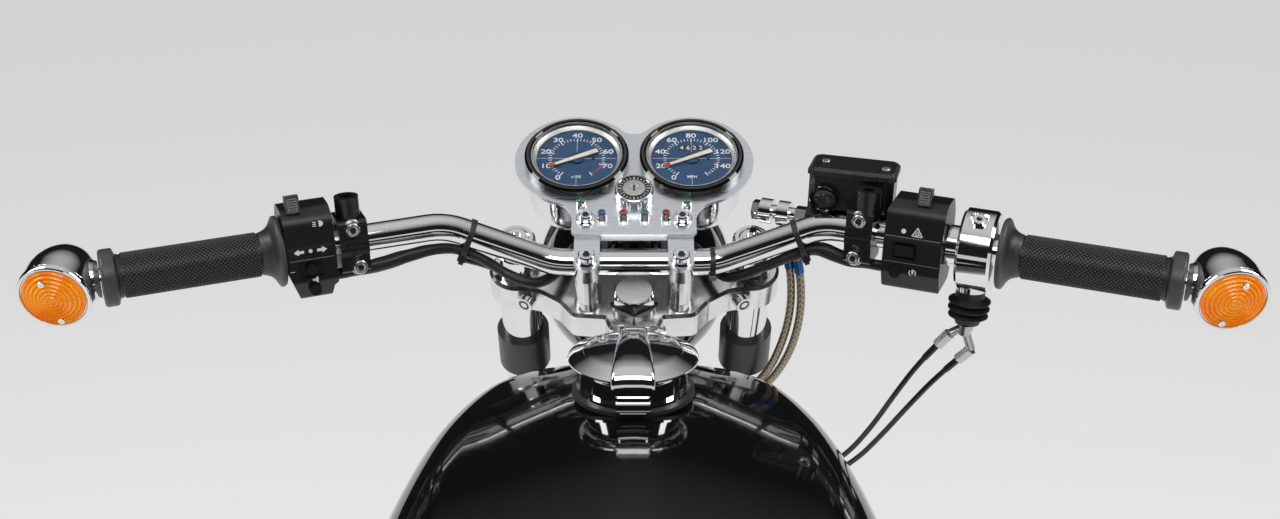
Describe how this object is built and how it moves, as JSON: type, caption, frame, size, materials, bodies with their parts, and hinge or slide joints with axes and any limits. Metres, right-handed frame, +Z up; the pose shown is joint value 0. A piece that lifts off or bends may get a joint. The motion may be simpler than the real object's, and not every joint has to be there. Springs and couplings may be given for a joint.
{
  "type": "motorcycle front section",
  "caption": "Front section of a classic motorcycle: handlebar with controls and round instruments, yokes, fork tubes, headlamp, frame tube and fuel tank with flip-up filler.",
  "frame": {"origin": "centre of the frame backbone tube's rear end, where the rest of the frame joins", "axes": "+Y forward along the backbone, +X to the rider's right, +Z up"},
  "size_m": [0.92, 0.7985, 0.4375],
  "materials": {
    "chrome": "polished chrome plate",
    "polished_alloy": "polished cast aluminium",
    "brushed_alloy": "brushed aluminium plate",
    "black_paint": "gloss black stove enamel",
    "frame_paint": "satin black paint",
    "bracket_paint": "dark grey satin paint",
    "black_plastic": "moulded black plastic",
    "rubber": "moulded black rubber",
    "sleeve": "soft black sleeving",
    "braid": "braided steel over hose",
    "dial_face": "steel blue printed dial",
    "clear_glass": "clear flat glass",
    "lamp_glass": "clear domed glass",
    "amber": "amber lens plastic",
    "steel": "machined steel"
  },
  "bodies": {
    "frame": {"steering_head": "frame_paint", "frame_backbone": "frame_paint", "down_tubes": "frame_paint", "fuel_tank": "black_paint", "tank_saddles": "rubber", "filler_gasket": "rubber", "filler_cup": "chrome", "cable_guide": "steel"},
    "filler_cap": {"filler_lid": "chrome"},
    "steering": {"steering_stem": "steel", "top_yoke": "polished_alloy", "lower_yoke": "frame_paint", "stem_nut": "chrome", "fork_tubes": "chrome", "fork_caps": "chrome", "handlebar": "chrome", "bar_risers": "polished_alloy", "bar_caps": "polished_alloy", "instrument_bracket": "brushed_alloy", "instrument_plate": "brushed_alloy", "instrument_cups": "chrome", "gauge_rings": "black_paint", "gauge_dials": "dial_face", "gauge_lenses": "clear_glass", "ignition_lock": "chrome", "warning_lights": "chrome", "headlamp_shell": "black_paint", "headlamp_rim": "chrome", "headlamp_lens": "lamp_glass", "headlamp_brackets": "bracket_paint", "grip_left": "rubber", "throttle_grip": "rubber", "throttle_housing": "chrome", "throttle_boot": "rubber", "cable_adjusters": "steel", "throttle_cables": "sleeve", "switchgear_left": "black_plastic", "switchgear_right": "black_plastic", "master_cylinder": "black_paint", "reservoir_lid": "black_plastic", "clutch_perch": "black_paint", "clutch_lever": "black_paint", "brake_lever": "black_paint", "banjo_fitting": "chrome", "brake_hoses": "braid", "hose_union": "steel", "indicator_housings": "chrome", "indicator_lenses": "amber", "wiring_left": "sleeve", "wiring_right": "sleeve", "cable_ties": "rubber"}
  },
  "joints": [
    {"name": "steering", "type": "hinge", "parent": "frame", "child": "steering", "pos_m": [0, 0.6, 0.1], "axis": [0, -0.4384, 0.8988], "range_deg": [-30, 30], "deforming": ["throttle_cables"]},
    {"name": "filler_cap", "type": "hinge", "parent": "frame", "child": "filler_cap", "pos_m": [0, 0.4935, 0.1165], "axis": [-1, 0, 0], "range_deg": [0, 95]}
  ]
}
